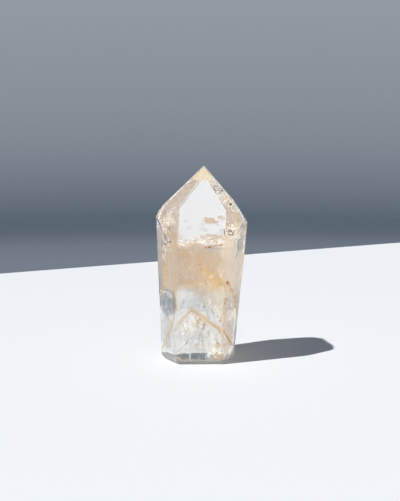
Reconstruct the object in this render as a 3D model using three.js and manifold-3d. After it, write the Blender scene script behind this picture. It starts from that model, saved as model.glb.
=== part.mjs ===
// A polished quartz tower: one natural crystal, ground to six tall faces that widen upwards,
// a pointed top with one dominant front face, and a softened foot that it stands on.
// Millimetres, +Z up, the front of the tower faces -Y. The foot's flat rests on Z = 0, and
// the origin is below the middle of the bounding box.

import * as THREE from "three";
import { mergeVertices } from "three/addons/utils/BufferGeometryUtils.js";
import Module from "manifold-3d";

const wasm = await Module();
wasm.setup();

// Driving sizes, measured from a working axis that stands near the middle of the foot.
// A facet faces the compass angle "facing", where 0 is +X and 90 is +Y.
const TIP = new THREE.Vector3(1.05, 8.8, 70.1);
const LEFT_SHOULDER = new THREE.Vector3(-16.9, 0, 53.2);
const RIGHT_SHOULDER = new THREE.Vector3(17.1, 0, 50.3);

// The six tall faces. "foot" is how far each stands from the axis at Z = 0, and "flare" is
// how many degrees it leans outwards on the way up.
const TALL_FACES = [
  { name: "right_back", facing: 32.7, foot: 10.3, flare: 3.9 },
  { name: "back", facing: 87.2, foot: 8.15, flare: 4.3 },
  { name: "left_back", facing: 149.4, foot: 13.5, flare: -0.4 },
  { name: "left_front", facing: 209.5, foot: 11.5, flare: 3.6 },
  { name: "front", facing: 270.6, foot: 7.6, flare: 1.5 },
  { name: "right_front", facing: 330.1, foot: 9.9, flare: 5.3 },
];

// The six top faces, one above each tall face. "rise" is how many degrees each looks up
// from level, and "through" is a point that it passes.
const TOP_FACES = [
  { name: "right_back", facing: 32.9, rise: 23.3, through: TIP },
  { name: "back", facing: 105.8, rise: 30.3, through: TIP },
  { name: "left_back", facing: 145.8, rise: 29.0, through: TIP },
  { name: "left_front", facing: 215.4, rise: 35.4, through: LEFT_SHOULDER },
  { name: "front", facing: 271.4, rise: 33.2, through: TIP },
  { name: "right_front", facing: 339.9, rise: 34.2, through: RIGHT_SHOULDER },
];

// The foot's edge is rounded off in steps, each looking further down than the last.
const FOOT_ROUNDING = 1.9;
const FOOT_STEPS = [18, 36, 54, 72];

// Polishing leaves a narrow flat on each arris, and blunts the tip.
const ARRIS_WIDTH = 0.45;
const TIP_BLUNTING = 0.12;

// The rough block that the tower is ground from, larger than the tower on every side.
const ROUGH = { width: 80, depth: 80, height: 120 };
const GRINDER = 400;

// Two facets share an arris where their common corners lie further apart than this.
const SHORTEST_ARRIS = 0.5;
const CORNER_TOLERANCE = 1e-4;

// The direction that a facet looks in, from its compass angle and its angle above level.
function outward(facing, rise) {
  const turn = THREE.MathUtils.degToRad(facing);
  const up = THREE.MathUtils.degToRad(rise);
  return new THREE.Vector3(
    Math.cos(up) * Math.cos(turn),
    Math.cos(up) * Math.sin(turn),
    Math.sin(up),
  );
}

// The plane that passes a point, with its normal pointing out of the stone.
function facetThrough(look, point) {
  return new THREE.Plane().setFromNormalAndCoplanarPoint(look, point);
}

function tallFacet({ facing, foot, flare }) {
  const atFloor = outward(facing, 0).multiplyScalar(foot);
  return facetThrough(outward(facing, -flare), atFloor);
}

function topFacet({ facing, rise, through }) {
  return facetThrough(outward(facing, rise), through);
}

// The steps that round the foot under one tall face. Each touches a circle of the rounding's
// radius that lies against the tall face and the floor.
function footFacets({ facing, foot }) {
  const centre = outward(facing, 0).multiplyScalar(foot - FOOT_ROUNDING);
  centre.z = FOOT_ROUNDING;
  return FOOT_STEPS.map((down) => {
    const look = outward(facing, -down);
    const touch = centre.clone().addScaledVector(look, FOOT_ROUNDING);
    return facetThrough(look, touch);
  });
}

// The point where three facets meet, or null where two of them are parallel.
function cornerOf(a, b, c) {
  const bc = b.normal.clone().cross(c.normal);
  const ca = c.normal.clone().cross(a.normal);
  const ab = a.normal.clone().cross(b.normal);
  const spread = a.normal.dot(bc);
  if (Math.abs(spread) < CORNER_TOLERANCE) {
    return null;
  }
  return bc
    .multiplyScalar(-a.constant)
    .addScaledVector(ca, -b.constant)
    .addScaledVector(ab, -c.constant)
    .divideScalar(spread);
}

// The corners of the stone that lie on both of two facets.
function sharedCorners(a, b, facets) {
  return facets
    .filter((c) => c !== a && c !== b)
    .map((c) => cornerOf(a, b, c))
    .filter((corner) => corner !== null)
    .filter((corner) =>
      facets.every((f) => f.distanceToPoint(corner) < CORNER_TOLERANCE),
    );
}

function shareArris(a, b, facets) {
  const corners = sharedCorners(a, b, facets);
  return corners.some((corner) => corner.distanceTo(corners[0]) > SHORTEST_ARRIS);
}

// The narrow flat that replaces the arris of two facets.
function arrisFlat(a, b) {
  const sum = a.normal.clone().add(b.normal);
  const length = sum.length();
  const halfAngle = Math.acos(length / 2);
  const depth = (ARRIS_WIDTH / 2) * Math.tan(halfAngle);
  return new THREE.Plane(
    sum.divideScalar(length),
    (a.constant + b.constant) / length + depth,
  );
}

// Every facet of the finished stone, apart from the flat that it stands on.
function allFacets() {
  const main = [...TALL_FACES.map(tallFacet), ...TOP_FACES.map(topFacet)];
  const floor = new THREE.Plane(new THREE.Vector3(0, 0, -1), 0);
  const closed = [...main, floor];
  const flats = main.flatMap((a, i) =>
    main
      .slice(i + 1)
      .filter((b) => shareArris(a, b, closed))
      .map((b) => arrisFlat(a, b)),
  );
  const bluntTip = facetThrough(
    new THREE.Vector3(0, 0, 1),
    TIP.clone().setZ(TIP.z - TIP_BLUNTING),
  );
  return [...main, ...flats, ...TALL_FACES.flatMap(footFacets), bluntTip];
}

// A three.js geometry as a solid that can be cut.
function solidFrom(geometry) {
  geometry.deleteAttribute("normal");
  geometry.deleteAttribute("uv");
  const merged = mergeVertices(geometry);
  return new wasm.Manifold(
    new wasm.Mesh({
      numProp: 3,
      vertProperties: new Float32Array(merged.attributes.position.array),
      triVerts: new Uint32Array(merged.index.array),
    }),
  );
}

// Everything on the outer side of a facet, as one large block to take away.
function grindingBlock(facet) {
  const block = new THREE.BoxGeometry(GRINDER, GRINDER, GRINDER);
  block.translate(0, 0, GRINDER / 2);
  const turn = new THREE.Quaternion().setFromUnitVectors(
    new THREE.Vector3(0, 0, 1),
    facet.normal,
  );
  block.applyQuaternion(turn);
  const onFacet = facet.normal.clone().multiplyScalar(-facet.constant);
  block.translate(onFacet.x, onFacet.y, onFacet.z);
  return solidFrom(block);
}

function groundStone() {
  const rough = new THREE.BoxGeometry(ROUGH.width, ROUGH.depth, ROUGH.height);
  rough.translate(0, 0, ROUGH.height / 2);
  return allFacets().reduce(
    (stone, facet) => stone.subtract(grindingBlock(facet)),
    solidFrom(rough),
  );
}

// The solid as a three.js geometry, centred over the origin and standing on Z = 0.
function centredGeometry(stone) {
  const mesh = stone.getMesh();
  const geometry = new THREE.BufferGeometry();
  geometry.setAttribute(
    "position",
    new THREE.BufferAttribute(mesh.vertProperties, 3),
  );
  geometry.setIndex(new THREE.BufferAttribute(mesh.triVerts, 1));
  geometry.computeBoundingBox();
  const middle = geometry.boundingBox.getCenter(new THREE.Vector3());
  geometry.translate(-middle.x, -middle.y, -geometry.boundingBox.min.z);
  geometry.computeVertexNormals();
  return geometry;
}

const clearQuartz = new THREE.MeshStandardMaterial({
  color: 0xeae0d4,
  roughness: 0.05,
  metalness: 0.0,
  transparent: true,
  opacity: 0.5,
});

const crystal = new THREE.Mesh(centredGeometry(groundStone()), clearQuartz);
crystal.name = "crystal";

const tower = new THREE.Group();
tower.add(crystal);

export default tower;
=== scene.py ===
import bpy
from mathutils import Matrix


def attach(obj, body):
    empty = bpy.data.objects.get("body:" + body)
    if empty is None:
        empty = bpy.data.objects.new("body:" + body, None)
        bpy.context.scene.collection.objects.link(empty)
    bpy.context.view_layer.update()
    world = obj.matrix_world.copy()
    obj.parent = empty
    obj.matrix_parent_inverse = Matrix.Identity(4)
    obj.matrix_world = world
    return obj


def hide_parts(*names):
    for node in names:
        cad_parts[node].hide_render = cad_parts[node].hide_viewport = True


bl_info = {
    "name": "Phantom Quartz Tower",
    "version": (1, 0, 0),
    "blender": (4, 5, 0),
    "location": "View3D > Sidebar > Quartz Tower",
    "description": "Dresses a polished quartz tower with its clear stone and the phantoms inside it",
    "category": "Object",
}

import math
import random
from collections import namedtuple

import bmesh
import bpy
from mathutils import Matrix, Vector, noise

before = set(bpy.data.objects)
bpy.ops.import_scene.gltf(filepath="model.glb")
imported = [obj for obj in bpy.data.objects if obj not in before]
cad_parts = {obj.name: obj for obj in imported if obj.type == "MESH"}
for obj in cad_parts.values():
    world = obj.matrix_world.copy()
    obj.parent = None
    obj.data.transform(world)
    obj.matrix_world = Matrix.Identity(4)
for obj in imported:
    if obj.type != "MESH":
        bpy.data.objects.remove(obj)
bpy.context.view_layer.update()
MM = 0.001

# Where the working axis of the facets stands, seen from the frame's origin.
AXIS = Vector((-0.2258, -2.0185, 0.0)) * MM

# The stone's facets, as the solid has them. "facing" is a compass angle, 0 at +X and 90 at +Y.
# A tall face stands "foot" mm from the axis at the floor and leans out by "flare" degrees.
TALL_FACES = {
    "right_back": {"facing": 32.7, "foot": 10.3, "flare": 3.9},
    "back": {"facing": 87.2, "foot": 8.15, "flare": 4.3},
    "left_back": {"facing": 149.4, "foot": 13.5, "flare": -0.4},
    "left_front": {"facing": 209.5, "foot": 11.5, "flare": 3.6},
    "front": {"facing": 270.6, "foot": 7.6, "flare": 1.5},
    "right_front": {"facing": 330.1, "foot": 9.9, "flare": 5.3},
}

# A top face looks "rise" degrees up from level and passes a named point of the tower.
TOP_FACES = {
    "right_back": {"facing": 32.9, "rise": 23.3, "through": "tip"},
    "back": {"facing": 105.8, "rise": 30.3, "through": "tip"},
    "left_back": {"facing": 145.8, "rise": 29.0, "through": "tip"},
    "left_front": {"facing": 215.4, "rise": 35.4, "through": "left_shoulder"},
    "front": {"facing": 271.4, "rise": 33.2, "through": "tip"},
    "right_front": {"facing": 339.9, "rise": 34.2, "through": "right_shoulder"},
}
TOWER_POINTS = {
    "tip": Vector((1.05, 8.8, 70.1)),
    "left_shoulder": Vector((-16.9, 0.0, 53.2)),
    "right_shoulder": Vector((17.1, 0.0, 50.3)),
}

# The ghosts of younger crystals: a point in mm from the frame's origin and the faces that
# meet there. "ridge" is how gold the ridge to the next face is and "width" its half width
# in mm.
LOWER_FACES = (
    {"facing": 30.2, "rise": 43.0, "ridge": 0.04, "width": 0.4},
    {"facing": 92.0, "rise": 34.0, "ridge": 0.04, "width": 0.4},
    {"facing": 152.7, "rise": 33.6, "ridge": 0.4, "width": 1.2},
    {"facing": 253.6, "rise": 21.2, "ridge": 0.55, "width": 1.1},
)
PHANTOMS = {
    "lower_phantom": {"point": Vector((-4.0, -3.6, 19.8)), "faces": LOWER_FACES, "share": 1.0},
    "lower_ghost": {"point": Vector((-3.7, -3.6, 20.9)), "faces": LOWER_FACES, "share": 0.35},
    "upper_phantom": {
        "point": Vector((-0.4, -1.0, 35.2)),
        "faces": (
            {"facing": 27.7, "rise": 40.0, "ridge": 0.0, "width": 0.4},
            {"facing": 88.0, "rise": 36.0, "ridge": 0.0, "width": 0.4},
            {"facing": 128.7, "rise": 38.0, "ridge": 0.0, "width": 0.5},
            {"facing": 245.0, "rise": 39.0, "ridge": 0.5, "width": 2.1},
        ),
        "share": 1.0,
    },
}

# A strip just inside a face: the points in mm that it passes, its width in mm, its tone and
# how densely it covers what lies behind it.
Line = namedtuple("Line", "side points width tone cover", defaults=(1.0,))

# A thin patch inside the stone: the centre in mm, the way it looks as compass angle and angle
# above level, its turn in its own plane, its width and height in mm, its tone and its cover.
Patch = namedtuple("Patch", "at looks turn size tone cover", defaults=(1.0,))

# Loose flakes: how many, two corners of the block that they fill in mm, the way they look,
# the smallest and the largest size in mm, the lowest and the highest tone, and the cover.
Flakes = namedtuple("Flakes", "count low high looks smallest largest tones cover")

# For stains the tone runs from tan at 0 over gold at 0.5 to rust at 1.
STAIN_LINES = (
    Line("left_front", ((-12.2, -8.4, 32.7), (-13.9, -4.8, 27.9), (-15.4, -1.6, 23.5)), 0.8, 0.6),
    Line("left_front", ((-9.9, -10.3, 18.2), (-12.2, -5.5, 10.3), (-14.6, -0.4, 3.4)), 1.0, 0.55),
    Line("right_front", ((9.2, -10.3, 30.2), (11.8, -5.4, 24.4), (12.7, -3.3, 20.6)), 1.5, 0.6),
    Line("right_front", ((12.7, -3.3, 20.6), (12.5, -2.6, 15.6)), 1.1, 0.6),
    Line("right_front", ((7.7, -9.9, 12.6), (9.6, -6.4, 9.0), (11.2, -3.1, 5.6)), 1.0, 0.7),
)
STAINS = (
    Patch((2.9, -2.0, 50.7), (270, 68), -12, (6.2, 3.8), 0.1, 0.95),
    Patch((7.0, 0.0, 51.3), (270, 60), 0, (2.8, 2.8), 0.1, 0.6),
    Patch((3.2, -6.0, 45.3), (270, 74), 0, (11.0, 5.0), 0.05, 0.6),
    Patch((-2.6, -8.0, 43.7), (270, 70), 0, (7.4, 3.8), 0.15, 0.6),
    Patch((4.7, -9.0, 43.25), (270, 25), 8, (8.0, 0.6), 0.9),
    Patch((6.0, -6.0, 6.75), (270, 20), -20, (2.8, 2.0), 0.35, 0.7),
    Patch((-1.0, -5.0, 15.9), (270, 10), 15, (2.4, 4.0), 0.7, 0.6),
    Patch((-2.1, -4.0, 6.3), (270, 10), 0, (1.7, 1.8), 0.4, 0.35),
    Patch((-9.3, -9.7, 25.4), (240, 0), 0, (0.9, 15.0), 0.5, 0.45),
    Patch((8.0, -9.7, 20.4), (300, 0), 0, (0.9, 12.0), 0.4, 0.35),
    Patch((9.2, -9.9, 30.3), (300, 5), 30, (1.4, 2.8), 1.0),
)
STAIN_FLAKES = (
    Flakes(14, (2.5, -8.8, 1.8), (7.5, -6.5, 5.0), (275, 5), (0.5, 0.5), (1.6, 1.4), (0.1, 0.6), 0.5),
    Flakes(46, (-8.5, -9.4, 30.0), (7.0, -7.6, 42.0), (270, 5), (0.5, 1.2), (1.8, 6.0), (0, 0.3), 0.5),
    Flakes(16, (0.0, -9.0, 28.0), (9.0, -8.2, 35.0), (270, 5), (0.5, 0.8), (1.6, 3.0), (0.3, 0.6), 0.5),
    Flakes(24, (-14.5, -7.0, 28.0), (-11.0, -5.0, 40.0), (215, 0), (0.5, 1.0), (1.6, 5.0), (0, 0.4), 0.8),
    Flakes(10, (-2.5, -6.5, 13.0), (1.5, -4.5, 18.0), (270, 5), (0.5, 0.7), (1.3, 2.4), (0.4, 0.9), 0.6),
    Flakes(10, (6.5, -9.0, 16.0), (9.0, -8.0, 28.0), (290, 0), (0.4, 0.7), (1.0, 2.6), (0.3, 0.8), 0.5),
    Flakes(10, (-4.0, -8.0, 43.0), (6.5, -6.0, 45.0), (270, 70), (0.8, 0.6), (2.6, 1.6), (0.1, 0.8), 0.6),
)
SOFT_STAINS = (
    Patch((1.8, -8.4, 33.7), (270, 5), 48, (3.0, 8.0), 0.4, 0.9),
    Patch((6.0, -8.7, 30.5), (270, 5), 62, (3.0, 10.0), 0.5, 0.9),
    Patch((7.4, -8.9, 29.8), (270, 5), 60, (2.2, 5.0), 0.7, 0.8),
    Patch((4.2, -8.2, 29.0), (270, 5), 58, (5.0, 10.0), 0.3, 0.5),
    Patch((-1.8, -7.6, 19.1), (270, 5), 57, (1.4, 6.4), 0.45, 0.6),
    Patch((1.8, -7.8, 16.5), (270, 5), 50, (1.5, 6.4), 0.5, 0.7),
    Patch((5.6, -8.4, 13.6), (270, 5), 55, (1.4, 7.4), 0.55, 0.8),
    Patch((6.7, -8.4, 11.9), (270, 5), 22, (1.2, 4.4), 0.5, 0.6),
    Patch((-6.3, -8.0, 17.3), (270, 5), -40, (1.6, 9.0), 0.4, 0.4),
    Patch((-3.0, -8.4, 39.6), (270, 5), 80, (3.6, 10.0), 0.05, 0.4),
    Patch((-6.5, -8.4, 36.5), (270, 5), -50, (2.4, 9.0), 0.05, 0.3),
    Patch((-3.8, -8.2, 34.0), (270, 5), -15, (2.6, 8.0), 0.05, 0.3),
    Patch((0.5, -8.6, 37.0), (270, 5), 20, (2.2, 7.0), 0.1, 0.3),
)

# For frost the tone runs from white at 0 to cream at 1.
# These strips are painted highlights: white to cream lines just inside the tip's left ridge and the
# shoulder edges, where the edges catch the light.
PAINTED_HIGHLIGHT_LINES = (
    Line("top_front", ((-3.9, 3.8, 65.7), (-7.5, 1.5, 62.4), (-11.0, -0.7, 59.1)), 0.6, 0.0, 1.4),
    Line("top_front", ((-11.0, -0.7, 59.1), (-13.9, -2.9, 55.9)), 0.4, 0.1),
    Line("top_front", ((-8.3, -2.1, 56.9), (-12.0, -3.5, 54.9), (-11.9, -7.8, 48.2)), 0.5, 0.3, 0.9),
    Line("left_front", ((-16.0, -4.1, 51.9), (-14.9, -5.6, 48.5), (-13.8, -7.2, 46.3)), 0.7, 0.0),
    Line("left_front", ((-13.8, -7.2, 46.3), (-12.0, -10.2, 44.0)), 0.5, 0.1, 0.9),
    Line("right_front", ((15.4, -4.2, 51.2), (13.6, -6.8, 48.0), (12.2, -8.8, 45.5)), 0.5, 0.4, 0.9),
)
FROST_AND_PAINTED_HIGHLIGHTS = (
    Patch((-1.6, -4.0, 14.6), (268, 12), 10, (10.5, 10.5), 0.2, 0.7),
    Patch((-1.9, -5.5, 14.8), (275, 5), -5, (2.6, 9.0), 0.0),
    Patch((0.6, -5.0, 12.5), (280, 20), 30, (5.5, 4.6), 0.1),
    Patch((-6.0, -5.0, 13.3), (262, 5), -10, (3.0, 5.0), 0.6),
    Patch((-4.2, -6.0, 9.5), (268, 0), -8, (1.4, 9.0), 0.0),
    Patch((1.8, -6.0, 9.5), (272, 0), 6, (1.6, 8.0), 0.1),
    Patch((4.6, -6.4, 9.0), (280, 0), 12, (1.6, 7.0), 0.3),
    Patch((2.4, -7.0, 44.4), (270, 72), 0, (16.0, 5.4), 0.1),
    Patch((-6.0, -8.0, 43.4), (270, 60), 0, (7.0, 3.4), 0.2),
    Patch((-3.9, -5.0, 24.8), (270, 5), 0, (7.4, 5.6), 0.0),
    Patch((10.0, -5.0, 47.6), (285, 30), 0, (5.6, 6.6), 0.3, 0.6),
    Patch((-15.3, -2.8, 50.0), (215, 10), 0, (2.0, 4.0), 0.0),
    # Painted highlight: a bright streak just inside the right edge.
    Patch((14.9, -2.3, 42.3), (335, 0), 0, (1.6, 7.0), 0.2, 1.6),
    Patch((4.6, -6.2, 4.6), (270, 25), 15, (9.5, 6.4), 0.5, 0.6),
    # Painted highlight: a bright cream spot at the right corner of the foot.
    Patch((9.6, -3.9, 3.4), (315, 0), -5, (3.2, 6.5), 0.6),
    Patch((8.6, -4.6, 5.0), (310, 10), 0, (5.6, 7.5), 0.7),
    Patch((2.2, -9.3, 3.4), (270, 0), -25, (2.2, 3.0), 0.1, 1.4),
    Patch((-1.0, -9.3, 3.2), (270, 0), 10, (0.9, 3.6), 0.1, 1.2),
    Patch((-4.2, -9.3, 3.0), (270, 0), -8, (0.8, 3.4), 0.3, 0.7),
    Patch((-5.6, -9.3, 2.6), (270, 0), 25, (1.0, 2.6), 0.8),
    Patch((3.4, -8.9, 31.9), (270, 5), 56, (1.2, 3.6), 1.0, 0.8),
    Patch((1.2, -6.5, 30.0), (275, 15), 35, (7.0, 9.0), 0.7, 0.8),
    Patch((4.0, -6.5, 24.0), (275, 5), -25, (8.0, 9.0), 0.6, 0.8),
    Patch((5.8, -7.5, 20.0), (280, 5), 5, (3.0, 11.0), 0.9, 0.8),
    Patch((0.9, -6.0, 21.2), (270, 10), 20, (4.0, 4.4), 0.2),
    Patch((4.8, -5.0, 10.0), (285, 5), 10, (6.0, 9.0), 0.3, 0.8),
    Patch((-12.2, -5.2, 43.0), (215, 10), 10, (4.0, 7.0), 0.2, 0.8),
    Patch((-13.1, -5.9, 50.3), (250, 30), 4, (2.6, 9.0), 0.3),
    Patch((8.6, 1.0, 58.5), (290, 30), 38, (5.0, 16.0), 0.2, 0.8),
)
FROST_FLAKES = (
    Flakes(30, (-8.5, -9.4, 28.0), (8.0, -7.6, 42.0), (270, 5), (0.5, 1.0), (1.8, 4.5), (0.8, 1), 0.4),
    Flakes(20, (8.5, -7.5, 8.0), (11.5, -4.5, 30.0), (325, 0), (0.5, 1.2), (1.4, 5.0), (0.3, 0.9), 0.8),
    Flakes(12, (11.5, -6.5, 37.0), (14.5, -4.5, 47.0), (330, 0), (0.5, 1.0), (1.4, 4.0), (0, 0.6), 0.8),
    Flakes(26, (-6.5, -8.0, 11.5), (0.5, -4.0, 18.0), (270, 5), (0.4, 1.2), (1.5, 4.5), (0, 0.3), 1.0),
    Flakes(30, (-8.0, -8.0, 5.5), (6.5, -4.0, 12.0), (270, 5), (0.4, 1.0), (1.4, 4.5), (0, 0.4), 0.8),
    Flakes(24, (0.5, -8.5, 21.0), (8.0, -6.0, 33.0), (270, 5), (0.5, 0.6), (1.7, 2.8), (0.3, 1), 0.8),
    Flakes(22, (-9.5, -9.0, 42.6), (7.5, -5.5, 45.6), (270, 70), (1.0, 0.6), (4.0, 2.4), (0, 0.5), 0.9),
    Flakes(18, (-14.0, -6.5, 38.0), (-11.5, -5.0, 49.0), (215, 0), (0.5, 0.8), (1.6, 3.5), (0, 0.4), 0.9),
    Flakes(18, (8.5, -6.5, 44.5), (13.5, -3.5, 51.0), (290, 25), (0.5, 0.5), (1.6, 2.6), (0.2, 0.8), 0.8),
    Flakes(14, (8.0, -1.0, 55.0), (11.5, 2.0, 62.0), (290, 30), (0.4, 0.5), (1.4, 2.2), (0.2, 0.8), 0.8),
    Flakes(18, (2.5, -8.8, 1.5), (8.0, -6.0, 6.0), (275, 5), (0.4, 0.5), (1.5, 1.7), (0.2, 0.8), 1.0),
)

# For veils the tone runs from smoky grey at 0 over peach at 0.5 to cream at 1.
# These strips are painted shade: smoky grey lines just inside the shoulder edges, where the stone shows
# the dark backdrop.
PAINTED_EDGE_SHADE_LINES = (
    Line("left_front", ((-15.4, -5.0, 51.4), (-13.9, -7.2, 48.0), (-12.4, -9.6, 44.8)), 0.7, 0.1, 1.6),
    Line("right_front", ((15.0, -4.8, 51.2), (13.1, -7.6, 48.0), (11.6, -9.8, 44.8)), 0.8, 0.2, 1.6),
)
VEILS_WITH_PAINTED_SHADE_AND_LIGHT = (
    # Painted shade: a smoky grey patch on the left face, where the stone shows the dark backdrop.
    Patch((-11.9, -5.6, 22.0), (209.5, -3), 0, (17.0, 11.0), 0.0, 1.4),
    # The next two patches are painted shade: the dark strip along the foot and its grey-brown left end,
    # where the foot shows the dark backdrop.
    Patch((-2.2, -8.7, 3.0), (270, 0), 0, (14.0, 2.8), 0.05, 4.0),
    Patch((-11.4, -4.9, 2.2), (209.5, -3), 0, (11.0, 2.4), 0.2, 1.2),
    Patch((-5.2, -3.0, 7.3), (270, 0), -44, (0.6, 9.8), 0.0),
    Patch((-1.4, -3.0, 9.1), (270, 0), 24, (0.6, 4.4), 0.0),
    Patch((-7.2, 4.2, 58.8), (145.8, 29), 0, (34.0, 22.0), 0.4, 0.9),
    # Painted light: a dense cream patch that brightens the tip.
    Patch((0.8, 6.5, 67.8), (271, 33), 0, (18.0, 9.4), 1.0, 3.0),
    Patch((-9.7, -6.0, 50.6), (271, 33), 0, (3.6, 13.0), 0.3, 0.8),
    Patch((-3.6, -8.2, 35.0), (272, 5), 20, (13.0, 13.0), 0.5),
    Patch((-9.5, -4.0, 30.0), (215, 5), -15, (10.0, 9.0), 0.5),
    Patch((-9.9, -9.2, 36.0), (240, 0), 0, (5.0, 18.0), 0.4, 1.2),
    Patch((9.6, -9.2, 34.0), (300, 0), 0, (6.0, 18.0), 0.6, 1.0),
    Patch((-9.0, -9.3, 22.0), (240, 0), 0, (1.8, 12.0), 0.8, 0.8),
    Patch((7.6, -9.3, 17.0), (300, 0), 0, (2.2, 30.0), 0.8, 1.2),
    Patch((-12.6, -4.2, 12.0), (209.5, -3), 0, (12.0, 20.0), 0.05, 0.4),
    Patch((9.5, -6.2, 14.0), (330, -5), 0, (9.0, 28.0), 0.6, 1.3),
    Patch((12.9, -4.8, 34.0), (330, -5), 0, (9.0, 16.0), 0.7),
    Patch((13.4, -5.2, 43.5), (330, -5), 0, (6.0, 10.0), 0.15, 0.8),
    Patch((-0.5, -7.5, 24.0), (270, 5), 0, (15.0, 13.0), 0.1, 0.3),
    Patch((-0.5, -6.5, 11.0), (270, 5), 0, (17.0, 14.0), 0.2, 0.2),
    Patch((5.4, -7.8, 27.0), (275, 5), 0, (7.0, 12.0), 0.45, 0.7),
    Patch((-3.0, -7.0, 49.5), (271, 33), 30, (9.0, 5.0), 0.1, 0.5),
    Patch((2.5, -5.0, 52.0), (271, 33), -20, (8.0, 5.0), 0.1, 0.35),
)
VEIL_FLAKES = (
    Flakes(22, (-8.0, -8.8, 17.0), (7.5, -5.5, 27.0), (270, 5), (0.4, 1.5), (1.2, 5.0), (0, 0.2), 0.35),
    Flakes(30, (-8.0, -8.8, 5.0), (7.5, -5.5, 16.0), (270, 5), (0.4, 1.2), (1.2, 4.5), (0, 0.2), 0.35),
    Flakes(14, (-7.0, -7.0, 47.0), (7.0, -4.0, 53.0), (271, 33), (0.8, 0.6), (4.0, 2.0), (0, 0.2), 0.2),
    Flakes(16, (-14.0, -6.0, 38.0), (-11.5, -5.0, 49.0), (215, 0), (0.5, 1.0), (1.6, 4.0), (0, 0.2), 1.2),
    Flakes(14, (11.5, -6.5, 37.0), (14.5, -4.5, 47.0), (330, 0), (0.5, 1.0), (1.4, 4.0), (0, 0.2), 0.9),
    Flakes(14, (-14.5, -4.5, 5.0), (-11.0, -4.0, 18.0), (210, 0), (0.4, 1.5), (1.2, 5.0), (0, 0.3), 0.6),
    Flakes(14, (8.5, -7.5, 8.0), (11.5, -4.5, 26.0), (325, 0), (0.4, 1.5), (1.2, 5.0), (0, 0.3), 0.7),
)

# A small grain, mineral or painted glint: the centre and the half sizes in mm.
Grain = namedtuple("Grain", "at size")

DARK_GRAINS = (
    Grain((7.2, 2.2, 61.4), (0.34, 0.2, 0.3)),
    Grain((10.3, -0.6, 56.9), (0.42, 0.25, 0.5)),
    Grain((9.6, -0.2, 57.3), (0.22, 0.2, 0.25)),
    Grain((-11.9, -5.0, 49.2), (0.25, 0.25, 0.35)),
    Grain((-11.3, -8.0, 44.3), (0.25, 0.2, 0.35)),
    Grain((-12.4, -7.4, 43.9), (0.3, 0.2, 0.4)),
    Grain((-14.0, -5.0, 42.6), (0.3, 0.3, 0.25)),
    Grain((0.9, -6.0, 20.9), (0.3, 0.2, 0.55)),
    Grain((8.0, -6.6, 47.9), (0.16, 0.16, 1.3)),
    Grain((12.8, -4.6, 42.3), (0.2, 0.3, 0.5)),
    Grain((7.0, -5.6, 15.6), (0.16, 0.16, 0.8)),
    Grain((5.7, -6.0, 17.2), (0.2, 0.2, 0.3)),
    Grain((0.5, -5.0, 12.8), (0.25, 0.2, 0.4)),
)
RUST_GRAINS = (
    Grain((-0.7, -8.0, 36.6), (0.35, 0.2, 0.28)),
    Grain((-0.5, -8.0, 35.3), (0.45, 0.25, 0.3)),
    Grain((0.0, -8.1, 35.0), (0.25, 0.2, 0.2)),
    Grain((9.15, -9.5, 30.5), (0.32, 0.25, 0.55)),
    Grain((9.5, -9.2, 29.8), (0.25, 0.2, 0.4)),
    Grain((-0.3, -5.0, 17.0), (0.25, 0.2, 0.5)),
    Grain((8.1, -9.4, 22.6), (0.2, 0.2, 0.5)),
)
BUBBLES = (
    Grain((9.7, -6.5, 48.3), (0.35, 0.3, 0.4)),
    Grain((10.4, -6.6, 48.2), (0.4, 0.35, 0.45)),
    Grain((11.1, -6.7, 47.6), (0.35, 0.3, 0.5)),
    Grain((10.9, -7.0, 46.9), (0.4, 0.3, 0.3)),
    Grain((10.1, -7.0, 46.8), (0.35, 0.3, 0.35)),
    Grain((9.6, -6.9, 47.3), (0.25, 0.25, 0.35)),
    Grain((11.6, -6.2, 48.4), (0.22, 0.22, 0.22)),
)
# The glints are painted glints: small glowing grains that stand in for sunlight caught inside the stone.
PAINTED_GLINTS = (
    Grain((10.8, -5.0, 50.1), (0.34, 0.2, 0.3)),
    Grain((11.5, -5.0, 48.6), (0.34, 0.2, 0.34)),
    Grain((-5.9, -5.2, 13.9), (0.25, 0.15, 0.7)),
    Grain((-5.5, -5.2, 12.6), (0.2, 0.15, 0.3)),
    Grain((4.3, -6.0, 4.7), (0.45, 0.2, 0.4)),
    Grain((9.8, -3.9, 3.4), (0.25, 0.2, 0.9)),
    Grain((-2.2, -8.0, 30.2), (0.15, 0.1, 0.15)),
    Grain((6.4, -6.5, 4.0), (0.2, 0.15, 0.25)),
    Grain((7.6, -5.6, 2.9), (0.25, 0.15, 0.2)),
)

ROUGH_BLOCK = 200 * MM
FOOT_STEPS = 8
SHARP_ANGLE = math.radians(16)

# Edges that look up further than this are the tip's ridges, which are left ground.
GROUND_RISE = 0.5


def outward(facing, rise):
    """The direction that a facet looks in."""
    turn, up = math.radians(facing), math.radians(rise)
    return Vector((math.cos(up) * math.cos(turn), math.cos(up) * math.sin(turn), math.sin(up)))


def tall_planes(inset=0.0):
    """Point and direction of each tall face, moved inwards by inset mm."""
    for face in TALL_FACES.values():
        look = outward(face["facing"], -face["flare"])
        point = outward(face["facing"], 0) * face["foot"] - look * inset
        yield point * MM + AXIS, look


def top_planes(inset=0.0):
    """Point and direction of each top face, moved inwards by inset mm."""
    for face in TOP_FACES.values():
        look = outward(face["facing"], face["rise"])
        point = TOWER_POINTS[face["through"]] - look * inset
        yield point * MM + AXIS, look


def foot_planes(rounding):
    """The steps that round the foot below each tall face."""
    for face in TALL_FACES.values():
        centre = outward(face["facing"], 0) * (face["foot"] - rounding)
        centre.z = rounding
        for step in range(1, FOOT_STEPS):
            look = outward(face["facing"], -90 * step / FOOT_STEPS)
            yield (centre + look * rounding) * MM + AXIS, look


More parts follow.
